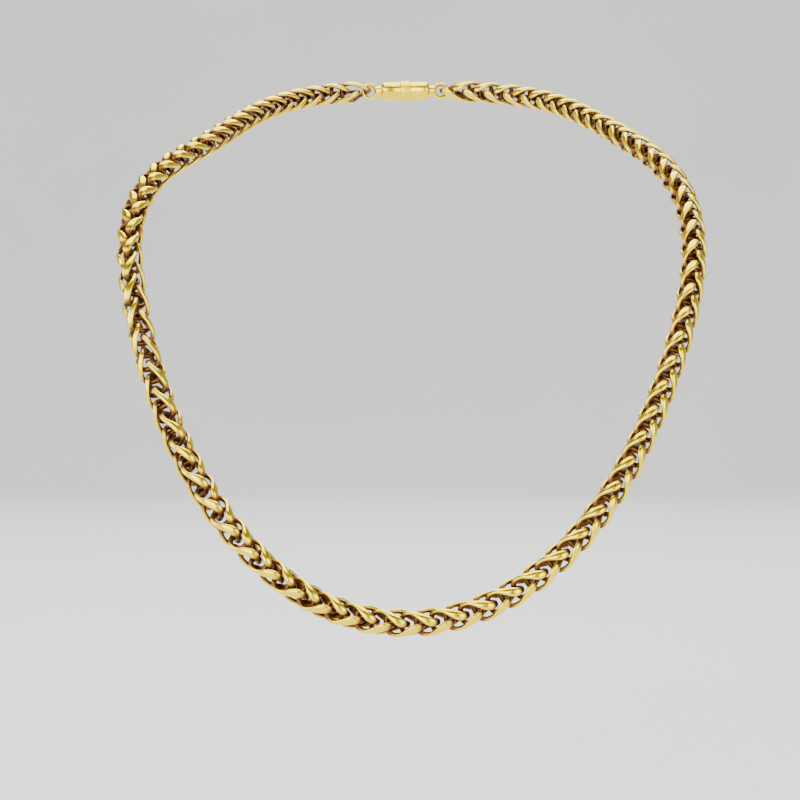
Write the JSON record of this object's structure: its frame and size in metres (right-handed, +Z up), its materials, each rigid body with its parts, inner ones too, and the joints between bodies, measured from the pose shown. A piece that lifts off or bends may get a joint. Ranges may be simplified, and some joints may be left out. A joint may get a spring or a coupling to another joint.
{
  "type": "wheat-weave foxtail chain necklace",
  "caption": "Heavy foxtail chain necklace of interlocked twisted oval links in a wheat weave, closed to a worn loop by a plain barrel clasp at the nape.",
  "frame": {"origin": "the mount nape, where the clasp's band lies against the back of the neck", "axes": "+X to the wearer's left, which is the right of the front view; +Y from the front of the wearer to the back; +Z up"},
  "size_m": [0.1325, 0.1302, 0.1355],
  "materials": {
    "gold": "polished yellow gold, flattened round-edged wire",
    "clasp_gold": "polished yellow gold with a satin band"
  },
  "bodies": {
    "root": {"chain_left": "gold", "chain_right": "gold", "clasp": "clasp_gold"}
  },
  "joints": []
}
